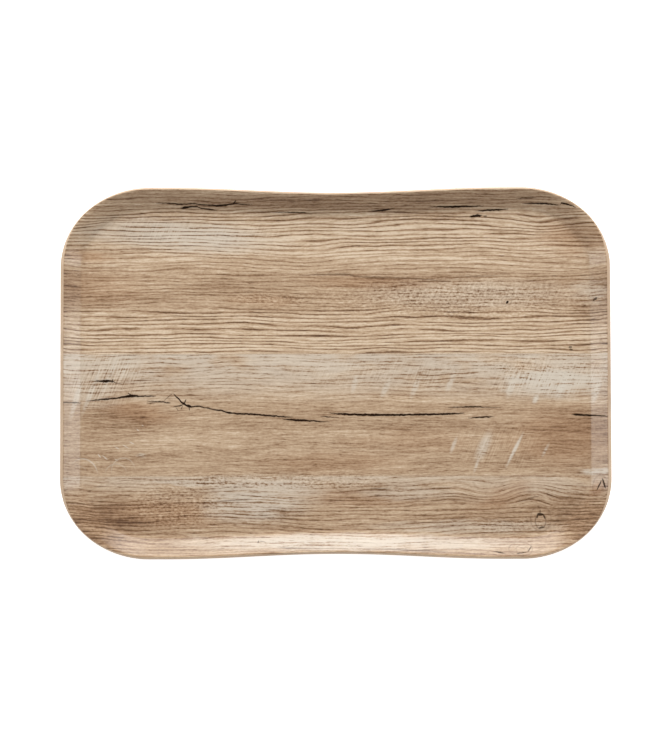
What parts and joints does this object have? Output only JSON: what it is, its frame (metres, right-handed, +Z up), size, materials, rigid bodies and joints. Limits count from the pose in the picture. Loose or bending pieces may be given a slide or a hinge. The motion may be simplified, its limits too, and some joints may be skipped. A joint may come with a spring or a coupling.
{
  "type": "serving tray",
  "caption": "Moulded wood-laminate serving tray with rounded corners, long sides waisted for the hands and a raised, rolled-out rim, for carrying food and drinks.",
  "frame": {"origin": "centre of the flat underside, on the surface that the tray stands on", "axes": "+X along the length, +Y along the width towards one waisted long side, +Z up out of the open side of the tray"},
  "size_m": [0.46, 0.311, 0.018],
  "materials": {
    "oak_decor": "satin-gloss melamine surface printed with weathered oak boards: long fine grain, pale saw marks, dark splits and small knots",
    "oak_backing": "satin melamine balancing sheet printed with plain oak grain",
    "veneer_long_grain": "pale pink-tan beech veneer with its grain along the tray, sanded and clear-sealed where its edge shows at the rim",
    "veneer_cross_grain": "pale pink-tan beech veneer with its grain across the tray, sanded and clear-sealed where its edge shows at the rim"
  },
  "bodies": {
    "root": {"decor_sheet": "oak_decor", "face_veneer": "veneer_long_grain", "upper_cross_veneer": "veneer_cross_grain", "core_veneer": "veneer_long_grain", "lower_cross_veneer": "veneer_cross_grain", "back_veneer": "veneer_long_grain", "backing_sheet": "oak_backing"}
  },
  "joints": []
}
